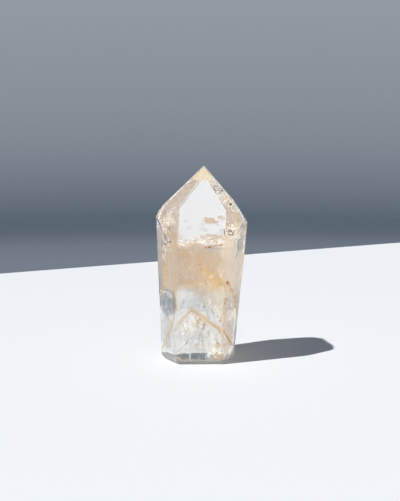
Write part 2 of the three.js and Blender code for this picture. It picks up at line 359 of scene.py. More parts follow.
def grind(bm, point, look, close=True):
    """Cuts away what lies beyond a plane and, if asked, closes the cut with one face."""
    cut = bmesh.ops.bisect_plane(
        bm,
        geom=bm.verts[:] + bm.edges[:] + bm.faces[:],
        dist=1e-7,
        plane_co=point,
        plane_no=look,
        clear_outer=True,
    )
    rim = [e for e in cut["geom_cut"] if isinstance(e, bmesh.types.BMEdge) and e.is_boundary]
    if close and rim:
        bmesh.ops.holes_fill(bm, edges=rim, sides=0)


def ground_stone(planes):
    """A bmesh of the block that is left when every plane has been ground."""
    bm = bmesh.new()
    bmesh.ops.create_cube(bm, size=ROUGH_BLOCK)
    bmesh.ops.translate(bm, vec=(0, 0, ROUGH_BLOCK / 2), verts=bm.verts)
    for point, look in planes:
        grind(bm, point, look)
    bmesh.ops.remove_doubles(bm, verts=bm.verts, dist=1e-6)
    bmesh.ops.dissolve_degenerate(bm, edges=bm.edges, dist=1e-6)
    return bm


def ridge_directions(faces):
    """The direction of each ridge, down from the point, between a face and the next one."""
    for face, following in zip(faces, faces[1:] + faces[:1]):
        a = outward(face["facing"], face["rise"])
        b = outward(following["facing"], following["rise"])
        down = b.cross(a)
        yield down.normalized() * (-1 if down.z > 0 else 1)


def ghost_point(point, ridges, cuts, reach=60 * MM):
    """A crystal's point as an open, finely divided sheet with straight ridges, facing out."""
    bm = bmesh.new()
    top = bm.verts.new(point)
    feet = [bm.verts.new(point + ridge * reach) for ridge in ridges]
    for foot, following in zip(feet, feet[1:] + feet[:1]):
        bm.faces.new((top, foot, following))
    bmesh.ops.subdivide_edges(bm, edges=bm.edges[:], cuts=cuts, use_grid_fill=True)
    bm.normal_update()
    if sum(face.normal.z for face in bm.faces) < 0:
        bmesh.ops.reverse_faces(bm, faces=bm.faces)
    return bm


def trim_to_stone(bm, inset, low, high):
    """Cuts a sheet off inside the stone's sides and between two levels."""
    for point, look in list(tall_planes(inset)) + list(top_planes(inset)):
        grind(bm, point, look, close=False)
    grind(bm, Vector((0, 0, high)), Vector((0, 0, 1)), close=False)
    grind(bm, Vector((0, 0, low)), Vector((0, 0, -1)), close=False)


def waver(bm, height, length, seed):
    """Gives a sheet the gentle unevenness of a grown surface."""
    bm.normal_update()
    shift = Vector((seed, 0, 0))
    for vert in bm.verts:
        vert.co += vert.normal * height * noise.noise(vert.co / length + shift)


def finished(bm, name, materials, smooth=False):
    """The bmesh as an object at the origin that rides on the stone."""
    bmesh.ops.recalc_face_normals(bm, faces=bm.faces)
    for face in bm.faces:
        face.smooth = smooth
    mesh = bpy.data.meshes.new(name)
    bm.to_mesh(mesh)
    bm.free()
    for material in materials:
        mesh.materials.append(material)
    piece = bpy.data.objects.new(name, mesh)
    bpy.context.scene.collection.objects.link(piece)
    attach(piece, "root")
    return piece


def plug(tree, socket, value):
    """Sets a socket, or joins another node's output to it."""
    if isinstance(value, bpy.types.NodeSocket):
        tree.links.new(value, socket)
    else:
        socket.default_value = value


def add_node(tree, kind, inputs=None, **settings):
    """A node with its settings and its inputs, each a value or another node's output."""
    node = tree.nodes.new(kind)
    for name, value in settings.items():
        setattr(node, name, value)
    for name, value in (inputs or {}).items():
        plug(tree, node.inputs[name], value)
    return node


def maths(tree, operation, *values, clamp=False):
    """A maths node's result."""
    node = add_node(tree, "ShaderNodeMath", operation=operation, use_clamp=clamp)
    for socket, value in zip(node.inputs, values):
        plug(tree, socket, value)
    return node.outputs["Value"]


def fade(tree, value, start, end, low=0.0, high=1.0):
    """A smooth step from low at start to high at end."""
    node = add_node(tree, "ShaderNodeMapRange", interpolation_type="SMOOTHSTEP")
    for name, setting in (
        ("Value", value),
        ("From Min", start),
        ("From Max", end),
        ("To Min", low),
        ("To Max", high),
    ):
        plug(tree, node.inputs[name], setting)
    return node.outputs["Result"]


def tinted(tree, share, first, second):
    """A colour between two, by share. Each is a setting's colour or another node's output."""
    node = add_node(tree, "ShaderNodeMix", data_type="RGBA")
    plug(tree, node.inputs[0], share)
    for socket, color in ((node.inputs[6], first), (node.inputs[7], second)):
        plug(tree, socket, color if isinstance(color, bpy.types.NodeSocket) else (*color, 1))
    return node.outputs[2]


def attribute(tree, name):
    """The piece's own stored value."""
    return add_node(tree, "ShaderNodeAttribute", attribute_name=name).outputs["Fac"]


def new_material(name):
    """An empty node material and its tree."""
    material = bpy.data.materials.new(name)
    material.use_nodes = True
    material.node_tree.nodes.clear()
    return material, material.node_tree


def solid_shader(tree, **inputs):
    """A Principled shader on the material's surface."""
    names = {name.replace("_", " "): value for name, value in inputs.items()}
    shader = add_node(tree, "ShaderNodeBsdfPrincipled", names)
    out = add_node(tree, "ShaderNodeOutputMaterial")
    tree.links.new(shader.outputs["BSDF"], out.inputs["Surface"])
    return out


def inclusion_shader(tree, tone, alpha, shade, glow):
    """Something thin inside the stone with a painted glow: its emission stands in for the sunlight that
    the stone keeps from reaching it.
    """
    solid_shader(
        tree,
        Base_Color=tinted(tree, shade, tone, (0, 0, 0)),
        Roughness=1.0,
        Alpha=alpha,
        Emission_Color=tone,
        Emission_Strength=glow,
        Specular_IOR_Level=0.0,
    )


def new_group(name, inputs, outputs):
    """A shader node group with float inputs and typed outputs."""
    tree = bpy.data.node_groups.new(name, "ShaderNodeTree")
    for label, value in inputs.items():
        socket = tree.interface.new_socket(label, in_out="INPUT", socket_type="NodeSocketFloat")
        socket.default_value = value
    for label, kind in outputs.items():
        tree.interface.new_socket(label, in_out="OUTPUT", socket_type=kind)
    return tree, tree.nodes.new("NodeGroupInput"), tree.nodes.new("NodeGroupOutput")


def wisps():
    """Node group: cloudy patches drawn out into wisps, between 0 and 1."""
    if "wisps" in bpy.data.node_groups:
        return bpy.data.node_groups["wisps"]
    tree, given, out = new_group(
        "wisps",
        {"Scale": 200.0, "From": 0.35, "To": 0.75},
        {"Mask": "NodeSocketFloat"},
    )
    where = add_node(tree, "ShaderNodeTexCoord")
    cloud = add_node(
        tree,
        "ShaderNodeTexNoise",
        {
            "Vector": where.outputs["Object"],
            "Scale": given.outputs["Scale"],
            "Detail": 6.0,
            "Roughness": 0.6,
            "Distortion": 0.6,
        },
    )
    mask = fade(tree, cloud.outputs["Fac"], given.outputs["From"], given.outputs["To"])
    tree.links.new(mask, out.inputs["Mask"])
    return tree


def ragged():
    """Node group: a patch's own shape with its outline eaten away, between 0 and 1."""
    if "ragged" in bpy.data.node_groups:
        return bpy.data.node_groups["ragged"]
    tree, given, out = new_group(
        "ragged",
        {"Scale": 700.0, "Bite": 1.0, "Softness": 0.3},
        {"Mask": "NodeSocketFloat"},
    )
    where = add_node(tree, "ShaderNodeTexCoord")
    rough = add_node(
        tree,
        "ShaderNodeTexNoise",
        {"Vector": where.outputs["Object"], "Scale": given.outputs["Scale"], "Detail": 5.0},
    )
    bitten = maths(tree, "SUBTRACT", rough.outputs["Fac"], 0.5)
    bitten = maths(tree, "MULTIPLY", bitten, given.outputs["Bite"])
    bitten = maths(tree, "MULTIPLY_ADD", bitten, 2.0, attribute(tree, "body"))
    mask = fade(tree, bitten, 0.0, given.outputs["Softness"])
    tree.links.new(mask, out.inputs["Mask"])
    return tree


def group_mask(tree, group, **settings):
    """A mask group's result, with its inputs set."""
    node = add_node(tree, "ShaderNodeGroup", node_tree=group)
    for name, value in settings.items():
        node.inputs[name].default_value = value
    return node.outputs["Mask"]


def wisp_mask(tree, scale, start, end):
    """The wisps group, placed in a tree."""
    return group_mask(tree, wisps(), Scale=scale, From=start, To=end)


def object_axes(tree):
    """The place on the piece as three outputs, X, Y and Z."""
    where = add_node(tree, "ShaderNodeTexCoord")
    split = add_node(tree, "ShaderNodeSeparateXYZ", {"Vector": where.outputs["Object"]})
    return split.outputs["X"], split.outputs["Y"], split.outputs["Z"]


def quartz(name, settings, clearness, roughness):
    """Champagne quartz with plain absorption. Ground quartz lets less through than polished."""
    material, tree = new_material(name)
    out = solid_shader(
        tree,
        Base_Color=(1, 1, 1, 1),
        Metallic=0.0,
        Roughness=roughness,
        IOR=settings.ior,
        Transmission_Weight=clearness,
    )
    tint = add_node(
        tree,
        "ShaderNodeVolumeAbsorption",
        {"Color": (*settings.tint, 1), "Density": settings.tint_density},
    )
    tree.links.new(tint.outputs["Volume"], out.inputs["Volume"])
    return material


# How the cloud's levels lean, so that its edges lie along the growth of the stone.
CLOUD_TILT = 0.124
CLOUD_FOOT = 26.3 * MM
CLOUD_TOP = 41.0 * MM
CLOUD_DRIFT = 1.5 * MM

# Between these two places across the stone the cloud's foot drops and softens.
CLOUD_LEFT = -6 * MM
CLOUD_RIGHT = 4 * MM


def milky_cloud(settings):
    """Peach milkiness: thick in a band across the middle, grey below it, faint above it."""
    material, tree = new_material("milky_cloud")
    x, y, z = object_axes(tree)
    level = maths(tree, "MULTIPLY_ADD", y, CLOUD_TILT, z)
    drift = maths(tree, "MULTIPLY", wisp_mask(tree, 180.0, 0.3, 0.7), CLOUD_DRIFT)
    level = maths(tree, "ADD", level, drift)
    foot = fade(tree, x, CLOUD_LEFT, CLOUD_RIGHT, CLOUD_FOOT, CLOUD_FOOT - 10 * MM)
    full = CLOUD_FOOT + 1.8 * MM
    foot_end = fade(tree, x, CLOUD_LEFT, CLOUD_RIGHT, full, CLOUD_FOOT + 4 * MM)
    above_foot = fade(tree, level, foot, foot_end)
    side = fade(tree, maths(tree, "ABSOLUTE", x), 6 * MM, 12.5 * MM)
    lifted = maths(tree, "MULTIPLY_ADD", side, -8 * MM, level)
    below_top = fade(tree, lifted, CLOUD_TOP + 3 * MM, CLOUD_TOP)
    band = maths(tree, "MULTIPLY", above_foot, below_top)
    thick = maths(tree, "MULTIPLY_ADD", wisp_mask(tree, 260.0, 0.3, 0.75), 0.14, 0.06)
    heavy = maths(tree, "MULTIPLY", band, thick)
    under = maths(tree, "SUBTRACT", 1.0, above_foot)
    thin = maths(tree, "MULTIPLY_ADD", wisp_mask(tree, 340.0, 0.42, 0.72), 0.07, 0.016)
    thin = maths(tree, "MULTIPLY", thin, under)
    over = maths(tree, "SUBTRACT", 1.0, below_top)
    faint = maths(tree, "MULTIPLY", over, 0.010)
    alpha = maths(tree, "ADD", maths(tree, "ADD", heavy, thin), faint)
    tone = tinted(tree, fade(tree, x, 0.0, 0.009), settings.cloud_color, settings.cream_color)
    tone = tinted(tree, under, tone, settings.thin_color)
    tone = tinted(tree, over, tone, settings.upper_color)
    inclusion_shader(tree, tone, alpha, settings.shade, settings.glow)
    return material


def three_tones(tree, tone, first, middle, last):
    """From the first colour at 0 over the middle one at 0.5 to the last at 1."""
    early = tinted(tree, fade(tree, tone, 0.0, 0.5), first, middle)
    return tinted(tree, fade(tree, tone, 0.5, 1.0), early, last)


def stain_tone(tree, tone, settings):
    """From tan at 0 over gold at 0.5 to rust at 1."""
    return three_tones(
        tree, tone, settings.tan_color, settings.gold_color, settings.rust_color
    )


def rusty_phantom(settings):
    """Gold iron stain, heavy along ridges and rims, on a faint veil."""
    material, tree = new_material("rusty_phantom")
    gold = attribute(tree, "gold")
    grain = wisp_mask(tree, 1200.0, 0.35, 0.62)
    patchy = wisp_mask(tree, 420.0, 0.3, 0.6)
    eaten = maths(tree, "MULTIPLY_ADD", grain, 0.6, 0.3)
    eaten = maths(tree, "MULTIPLY", eaten, maths(tree, "MULTIPLY_ADD", patchy, 0.5, 0.5))
    stain = maths(tree, "MULTIPLY", fade(tree, gold, 0.02, 0.85), eaten)
    veil = maths(tree, "MULTIPLY", wisp_mask(tree, 300.0, 0.45, 0.75), 0.05)
    alpha = maths(tree, "MAXIMUM", stain, veil, clamp=True)
    heavy = maths(tree, "MULTIPLY", stain, wisp_mask(tree, 500.0, 0.45, 0.7))
    tone = maths(tree, "MULTIPLY_ADD", heavy, 0.45, fade(tree, gold, 0.3, 0.9, 0.05, 0.45))
    color = stain_tone(tree, tone, settings)
    inclusion_shader(tree, color, alpha, settings.shade, settings.glow)
    return material


def covered(tree, mask, density):
    """How densely a patch covers: its mask and density, by the piece's own cover."""
    share = maths(tree, "MULTIPLY", mask, density)
    return maths(tree, "MULTIPLY", share, attribute(tree, "cover"), clamp=True)


def iron_stain(name, bite, softness, settings):
    """Ragged patches of iron stain, tan to rust by the piece's own tone."""
    material, tree = new_material(name)
    mask = group_mask(tree, ragged(), Scale=650.0, Bite=bite, Softness=softness)
    grain = wisp_mask(tree, 1500.0, 0.35, 0.6)
    alpha = covered(tree, mask, maths(tree, "MULTIPLY_ADD", grain, 0.6, 0.3))
    shade = maths(tree, "MULTIPLY_ADD", wisp_mask(tree, 800.0, 0.4, 0.7), 0.35, -0.1)
    tone = maths(tree, "ADD", attribute(tree, "tone"), shade, clamp=True)
    color = stain_tone(tree, tone, settings)
    inclusion_shader(tree, color, alpha, settings.shade, settings.glow)
    return material


def frost_and_painted_highlight(settings):
    """Healed fractures as crisp white or cream flecks with a painted glow. The same material draws the
    painted highlights along the edges.
    """
    material, tree = new_material("frost_and_painted_highlight")
    mask = group_mask(tree, ragged(), Scale=600.0, Bite=1.2, Softness=0.8)
    flecks = wisp_mask(tree, 1300.0, 0.50, 0.62)
    haze = wisp_mask(tree, 500.0, 0.35, 0.75)
    density = maths(tree, "MULTIPLY_ADD", flecks, 0.7, maths(tree, "MULTIPLY", haze, 0.25))
    alpha = covered(tree, mask, density)
    color = tinted(tree, attribute(tree, "tone"), settings.frost_color, settings.sand_color)
    inclusion_shader(tree, color, alpha, settings.shade, settings.frost_glow)
    return material


def veil_with_painted_shade_and_light(settings):
    """Thin veils from smoky grey over peach to cream, by the piece's own tone, with a painted glow. The
    same material draws painted shade on the left face, along the foot and along the shoulder edges, and a
    painted light at the tip.
    """
    material, tree = new_material("veil_with_painted_shade_and_light")
    mask = group_mask(tree, ragged(), Scale=350.0, Bite=0.9, Softness=0.8)
    streaks = wisp_mask(tree, 520.0, 0.3, 0.65)
    alpha = covered(tree, mask, maths(tree, "MULTIPLY_ADD", streaks, 0.35, 0.15))
    color = three_tones(
        tree,
        attribute(tree, "tone"),
        settings.smoke_color,
        settings.peach_color,
        settings.sand_color,
    )
    inclusion_shader(tree, color, alpha, settings.shade, settings.glow)
    return material


def mineral(name, light, dark, glow, metallic, roughness):
    """A small included mineral with a mottled surface, and a painted glow where glow is set."""
    material, tree = new_material(name)
    tone = tinted(tree, wisp_mask(tree, 2500.0, 0.35, 0.65), light, dark)
    solid_shader(
        tree,
        Base_Color=tone,
        Metallic=metallic,
        Roughness=roughness,
        Emission_Color=tone,
        Emission_Strength=glow,
    )
    return material


def float_setting(name, description, default, **options):
    """A number in the sidebar."""
    return bpy.props.FloatProperty(name=name, description=description, default=default, **options)


def color_setting(name, description, default):
    """A colour in the sidebar."""
    return bpy.props.FloatVectorProperty(
        name=name, description=description, subtype="COLOR", size=3, default=default
    )


class QuartzTowerStone(bpy.types.PropertyGroup):
    """The clear stone"""

    foot_rounding: float_setting(
        "Foot rounding", "Radius of the rounded edge of the foot", 1.9 * MM, unit="LENGTH"
    )
    ground_arris: float_setting(
        "Ground arris", "How far grinding takes back the tip's ridges", 0.22 * MM, unit="LENGTH"
    )
    fine_arris: float_setting(
        "Fine arris", "How far polishing takes back every other edge", 0.06 * MM, unit="LENGTH"
    )
    ior: float_setting("Index of refraction", "How strongly the quartz bends light", 1.544)
    tint: color_setting("Tint", "The colour that the stone lets through", (0.93, 0.90, 0.85))
    tint_density: float_setting("Tint density", "How fast the tint deepens with thickness", 38.0)


class QuartzTowerGrowth(bpy.types.PropertyGroup):
    """What grew inside the stone"""

    layer_spacing: float_setting(
        "Layer spacing", "Rise from one milky layer to the next", 2.2 * MM, unit="LENGTH"
    )
    layer_thickness: float_setting(
        "Layer thickness", "Thickness of one milky layer", 1.0 * MM, unit="LENGTH"
    )
    # glow and frost_glow set a painted glow: emission that stands in for sunlight scattered inside the
    # stone. shade darkens their own colour so that the lamps add little on top.
    glow: float_setting("Glow", "Sunlight that the milky layers and stains pass on", 0.7)
    frost_glow: float_setting("Frost glow", "Sunlight that the fractures pass on", 0.85)
    shade: float_setting("Shade", "How far the lamps' own light on them is held back", 0.7)
    cloud_color: color_setting("Cloud", "The thick peach cloud", (0.76, 0.58, 0.415))
    cream_color: color_setting("Cream", "The cloud's right side", (1.0, 0.87, 0.69))
    thin_color: color_setting("Thin cloud", "The grey milkiness below", (0.64, 0.65, 0.62))
    upper_color: color_setting("Upper cloud", "The faint milkiness above", (0.88, 0.85, 0.81))
    tan_color: color_setting("Tan", "The lightest iron stain", (0.72, 0.51, 0.32))
    gold_color: color_setting("Gold", "Gold iron stain", (0.84, 0.57, 0.22))
    rust_color: color_setting("Rust", "Heavy iron stain", (0.42, 0.16, 0.05))
    frost_color: color_setting("Frost", "White fractures", (1.0, 1.0, 0.98))
    sand_color: color_setting("Sand", "Cream fractures", (1.0, 0.86, 0.64))
    smoke_color: color_setting("Smoke", "Smoky grey veils", (0.20, 0.23, 0.26))
    peach_color: color_setting("Peach", "Peach veils", (0.73, 0.61, 0.51))


class QuartzTowerStage(bpy.types.PropertyGroup):
    """Camera, floor and light"""

    camera_distance: float_setting(
        "Camera distance", "From the camera to the point that it looks at", 0.6, unit="LENGTH"
    )
    camera_elevation: float_setting(
        "Camera elevation", "How far the camera looks down", math.radians(11.0), subtype="ANGLE"
    )
    floor_turn: float_setting(
        "Floor turn", "How far the floor's far edge is turned", math.radians(21.7), subtype="ANGLE"
    )
    floor_color: color_setting("Floor colour", "The plain pale floor", (0.86, 0.87, 0.88))


def arris_rise(edge):
    """How far up an edge looks, as the height of its two faces' mean normal."""
    first, second = edge.link_faces
    return (first.normal + second.normal).normalized().z


def rounded_edges(bm, rises, offset):
    """Rounds the sharp edges that look up as far as asked, and returns the new faces."""
    bm.normal_update()
    sharp = [e for e in bm.edges if e.calc_face_angle(0) > SHARP_ANGLE]
    edges = [e for e in sharp if rises(arris_rise(e))]
    rounded = bmesh.ops.bevel(
        bm,
        geom=edges,
        offset=offset,
        offset_type="OFFSET",
        segments=4,
        profile=0.5,
        affect="EDGES",
        clamp_overlap=True,
        material=-1,
    )
    return rounded["faces"]


class QUARTZ_OT_make_stone(bpy.types.Operator):
    """Makes the polished clear stone in place of its plain solid"""

    bl_idname = "quartz_tower.make_stone"
    bl_label = "Make Stone"

    def execute(self, context):
        settings = context.scene.quartz_tower_stone
        planes = list(tall_planes()) + list(top_planes())
        planes += list(foot_planes(settings.foot_rounding / MM))
        planes.append((Vector((0, 0, 0)), Vector((0, 0, -1))))
        bm = ground_stone(planes)
        bm.normal_update()
        for face in bm.faces:
            if face.calc_center_median().z < settings.foot_rounding and face.normal.z > -0.999:
                face.material_index = 2
        for face in rounded_edges(bm, lambda rise: rise > GROUND_RISE, settings.ground_arris):
            face.material_index = 1
        rounded_edges(bm, lambda rise: rise <= GROUND_RISE, settings.fine_arris)
        materials = (
            quartz("polished_quartz", settings, clearness=1.0, roughness=0.0),
            quartz("ground_arris", settings, clearness=0.5, roughness=0.4),
            quartz("worn_foot", settings, clearness=0.92, roughness=0.22),
        )
        stone = finished(bm, "polished_stone", materials)
        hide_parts("crystal")
        return {"FINISHED"}


CLOUD_POINT = Vector((-0.8, -0.8, 0.0)) * MM
CLOUD_RISE = 38.0
FIRST_LAYER = 6 * MM
LAST_LAYER = 68 * MM
CLOUD_INSET = 0.3
CLOUD_FACES = [{"facing": f["facing"], "rise": CLOUD_RISE} for f in TALL_FACES.values()]


class QUARTZ_OT_make_clouds(bpy.types.Operator):
    """Makes the nested milky growth layers"""

    bl_idname = "quartz_tower.make_clouds"
    bl_label = "Make Clouds"

    def execute(self, context):
        settings = context.scene.quartz_tower_growth
        material = milky_cloud(settings)
        ridges = list(ridge_directions(CLOUD_FACES))
        height = FIRST_LAYER
        number = 1
        while height < LAST_LAYER:
            bm = ghost_point(CLOUD_POINT + Vector((0, 0, height)), ridges, cuts=28)
            waver(bm, 0.7 * MM, 6 * MM, seed=number)
            trim_to_stone(bm, CLOUD_INSET, low=2 * MM, high=69 * MM)
            if bm.faces:
                bmesh.ops.solidify(bm, geom=bm.faces[:], thickness=settings.layer_thickness)
                finished(bm, f"growth_layer_{number}", [material], smooth=True)
            height += settings.layer_spacing
            number += 1
        return {"FINISHED"}


PHANTOM_INSET = 0.12


def to_half_line(place, start, way):
    """Distance from a place to a half-line."""
    along = max(0.0, (place - start).dot(way))
    return (place - start - way * along).length


def phantom_gold(place, phantom, ridges):
    """How gold a phantom is at a place, from its ridges."""
    gold = 0.0
    for ridge, face in zip(ridges, phantom["faces"]):
        off = to_half_line(place, phantom["point"] * MM, ridge) / (face["width"] * MM)
        gold = max(gold, face["ridge"] * math.exp(-off * off))
    return gold * phantom["share"]


class QUARTZ_OT_make_phantoms(bpy.types.Operator):
    """Makes the gold phantoms, the stained points of younger crystals"""

    bl_idname = "quartz_tower.make_phantoms"
    bl_label = "Make Phantoms"

    def execute(self, context):
        settings = context.scene.quartz_tower_growth
        material = rusty_phantom(settings)
        for number, (name, phantom) in enumerate(PHANTOMS.items()):
            ridges = list(ridge_directions(phantom["faces"]))
            bm = ghost_point(phantom["point"] * MM, ridges, cuts=110)
            trim_to_stone(bm, PHANTOM_INSET, low=0.8 * MM, high=60 * MM)
            gold = bm.verts.layers.float.new("gold")
            for vert in bm.verts:
                vert[gold] = phantom_gold(vert.co, phantom, ridges)
            waver(bm, 0.5 * MM, 3.5 * MM, seed=3.0 + number)
            trim_to_stone(bm, PHANTOM_INSET, low=0.8 * MM, high=60 * MM)
            bmesh.ops.solidify(bm, geom=bm.faces[:], thickness=0.05 * MM)
            finished(bm, name, [material], smooth=True)
        return {"FINISHED"}


PATCH_INSET = 0.15
PATCH_WAVE = 0.35
PATCH_STEPS = 24
FLAKE_STEPS = 8
FLAKE_LEAN = 20
FLAKE_TURN = 35
LINE_DEPTH = 0.2


def placed(at, size, looks=(0, 90), turn=0.0):
    """The matrix that lays a shape of size 1 in its place, sizes and places in mm."""
    wide, high, deep = (*size, 1)[:3]
    spin = outward(*looks).to_track_quat("Z", "Y").to_matrix().to_4x4()
    turned = Matrix.Rotation(math.radians(turn), 4, "Z")
    scaled = Matrix.Diagonal((wide * MM, high * MM, deep * MM, 1))
    return Matrix.Translation(Vector(at) * MM) @ spin @ turned @ scaled


def loose_flakes(flakes, seed):
    """Patches of random place, lean, turn, size and tone in a block."""
    pick = random.Random(seed)
    for _ in range(flakes.count):
        share = pick.random()
        yield Patch(
            at=[pick.uniform(*ends) for ends in zip(flakes.low, flakes.high)],
            looks=[angle + pick.uniform(-FLAKE_LEAN, FLAKE_LEAN) for angle in flakes.looks],
            turn=pick.uniform(-FLAKE_TURN, FLAKE_TURN),
            size=[a + (b - a) * share for a, b in zip(flakes.smallest, flakes.largest)],
            tone=pick.uniform(*flakes.tones),
            cover=flakes.cover,
        )


def add_sheet(bm, matrix, values, wave, steps, ends, seed):
    """A wavy sheet. Its body fades from 1 at the centre to 0 at the outline."""
    body_layer = bm.verts.layers.float["body"]
    flat = bmesh.ops.create_grid(bm, x_segments=steps, y_segments=steps, size=0.5)
    for vert in flat["verts"]:
        vert[body_layer] = 1 - abs(2 * vert.co.x) ** 2 - abs(2 * vert.co.y) ** ends
        for name, value in values.items():
            vert[bm.verts.layers.float[name]] = value
        vert.co.z += wave * noise.noise(vert.co * 5 + Vector((seed, 0, 0)))
    bmesh.ops.transform(bm, matrix=matrix, verts=flat["verts"])


def add_patch(bm, patch, steps, seed):
    """One patch, waved more gently where it is small."""
    wave = min(PATCH_WAVE, 0.08 * min(patch.size))
    matrix = placed(patch.at, patch.size, patch.looks, patch.turn)
    values = {"tone": patch.tone, "cover": patch.cover}
    add_sheet(bm, matrix, values, wave, steps, 2, seed)


def add_line(bm, line, look):
    """The strips of a line, laid just inside a face that looks the given way."""
    for start, end in zip(line.points, line.points[1:]):
        run = Vector(end) - Vector(start)
        along = (run - look * run.dot(look)).normalized()
        across = along.cross(look)
        centre = (Vector(start) + Vector(end)) / 2 - look * LINE_DEPTH
        turn = Matrix((across, along, look)).transposed().to_4x4()
        scale = Matrix.Diagonal((line.width * MM, run.length * 1.12 * MM, MM, 1))
        matrix = Matrix.Translation(centre * MM) @ turn @ scale
        values = {"tone": line.tone, "cover": line.cover}
        add_sheet(bm, matrix, values, 0.0, PATCH_STEPS, 12, start[2])


def make_patches(name, material, patches=(), flakes=(), lines=()):
    """One piece of thin wavy patches, loose flakes and strips just inside the faces."""
    bm = bmesh.new()
    for layer in ("body", "tone", "cover"):
        bm.verts.layers.float.new(layer)
    for number, patch in enumerate(patches):
        add_patch(bm, patch, PATCH_STEPS, number)
    for number, group in enumerate(flakes):
        for flake in loose_flakes(group, number):
            add_patch(bm, flake, FLAKE_STEPS, flake.turn)
    looks = {side: look for side, (_, look) in zip(TALL_FACES, tall_planes())}
    looks.update((f"top_{side}", look) for side, (_, look) in zip(TOP_FACES, top_planes()))
    for line in lines:
        add_line(bm, line, looks[line.side])
    trim_to_stone(bm, PATCH_INSET, low=0.2 * MM, high=69.5 * MM)
    bmesh.ops.solidify(bm, geom=bm.faces[:], thickness=0.02 * MM)
    finished(bm, name, [material], smooth=True)


class QUARTZ_OT_make_patches(bpy.types.Operator):
    """Makes the iron stains, the frosted fractures with the painted highlights, and the thin veils with
    the painted shade and light
    """

    bl_idname = "quartz_tower.make_patches"
    bl_label = "Make Patches"

    def execute(self, context):
        settings = context.scene.quartz_tower_growth
        crisp = iron_stain("iron_stain", 2.4, 0.6, settings)
        soft = iron_stain("soft_stain", 1.0, 0.9, settings)
        frost = frost_and_painted_highlight(settings)
        make_patches("iron_stains", crisp, STAINS, STAIN_FLAKES, STAIN_LINES)
        make_patches("soft_stains", soft, SOFT_STAINS)
        make_patches("frost_and_painted_highlights", frost, FROST_AND_PAINTED_HIGHLIGHTS, FROST_FLAKES, PAINTED_HIGHLIGHT_LINES)
        make_patches("veils_with_painted_shade_and_light", veil_with_painted_shade_and_light(settings), VEILS_WITH_PAINTED_SHADE_AND_LIGHT, VEIL_FLAKES, PAINTED_EDGE_SHADE_LINES)
        return {"FINISHED"}


def make_grains(name, grains, material, lumps):
    """One piece of small lumpy grains."""
    bm = bmesh.new()
    for number, grain in enumerate(grains):
        matrix = placed(grain.at, grain.size)
        ball = bmesh.ops.create_icosphere(bm, subdivisions=3, radius=1.0)
        for vert in ball["verts"]:
            vert.co *= 1 + lumps * noise.noise(vert.co * 1.5 + Vector((number * 7, 0, 0)))
        bmesh.ops.transform(bm, matrix=matrix, verts=ball["verts"])
    finished(bm, name, [material], smooth=True)


class QUARTZ_OT_make_minerals(bpy.types.Operator):
    """Makes the dark grains, the bubbles and the painted glints"""

    bl_idname = "quartz_tower.make_minerals"
    bl_label = "Make Minerals"

    def execute(self, context):
        dark = mineral("dark_grain", (0.10, 0.08, 0.06), (0.02, 0.018, 0.016), 0.0, 0.0, 0.4)
        # The rust grains and the glints glow though they are no lamps: painted glow.
        rusty = mineral("rust_grain", (0.62, 0.27, 0.08), (0.34, 0.11, 0.03), 0.45, 0.0, 0.6)
        shiny = mineral("fluid_bubble", (0.60, 0.62, 0.60), (0.08, 0.09, 0.09), 0.0, 1.0, 0.15)
        glint = mineral("painted_glint", (1.0, 0.96, 0.82), (1.0, 0.84, 0.54), 0.9, 0.0, 0.3)
        make_grains("dark_grains", DARK_GRAINS, dark, lumps=0.5)
        make_grains("rust_grains", RUST_GRAINS, rusty, lumps=0.5)
        make_grains("fluid_bubbles", BUBBLES, shiny, lumps=0.3)
        make_grains("painted_glints", PAINTED_GLINTS, glint, lumps=0.6)
        return {"FINISHED"}


# What the camera looks at, the frame that it fills, and the floor's sizes in metres.
LOOK_AT = Vector((-0.646, -2.0185, 40.4)) * MM
PHOTO_HEIGHT = 501
MM_PER_PIXEL = 0.36
SENSOR = 36.0
FLOOR_HALF_DEPTH = 0.174
FLOOR_HALF_WIDTH = 0.185
FLOOR_THICKNESS = 0.004
FLOOR_GAP = 0.00005


def plain_floor(settings):
    """A thin pale slab whose far edge shows behind the tower."""
    bm = bmesh.new()
    bmesh.ops.create_cube(bm, size=1.0)
    bmesh.ops.scale(
        bm, vec=(2 * FLOOR_HALF_WIDTH, 2 * FLOOR_HALF_DEPTH, FLOOR_THICKNESS), verts=bm.verts
    )
    bmesh.ops.translate(bm, vec=(0, 0, -FLOOR_THICKNESS / 2 - FLOOR_GAP), verts=bm.verts)
    bmesh.ops.rotate(
        bm, cent=(0, 0, 0), matrix=Matrix.Rotation(settings.floor_turn, 3, "Z"), verts=bm.verts
    )
    material, tree = new_material("pale_floor")
    solid_shader(tree, Base_Color=(*settings.floor_color, 1), Roughness=0.85)
    mesh = bpy.data.meshes.new("floor")
    bm.to_mesh(mesh)
    bm.free()
    mesh.materials.append(material)
    floor = bpy.data.objects.new("floor", mesh)
    bpy.context.scene.collection.objects.link(floor)


def studio_camera(settings):
    """The camera at the photograph's viewing angle."""
    data = bpy.data.cameras.new("camera")
    data.sensor_width = SENSOR
    data.lens = SENSOR * settings.camera_distance / (MM_PER_PIXEL * MM * PHOTO_HEIGHT)
    data.clip_start = 0.01
    data.clip_end = 20.0
    camera = bpy.data.objects.new("camera", data)
    back = Vector((0, -math.cos(settings.camera_elevation), math.sin(settings.camera_elevation)))
    camera.location = LOOK_AT + back * settings.camera_distance
    camera.rotation_euler = (-back).to_track_quat("-Z", "Y").to_euler()
    bpy.context.scene.collection.objects.link(camera)
    bpy.context.scene.camera = camera


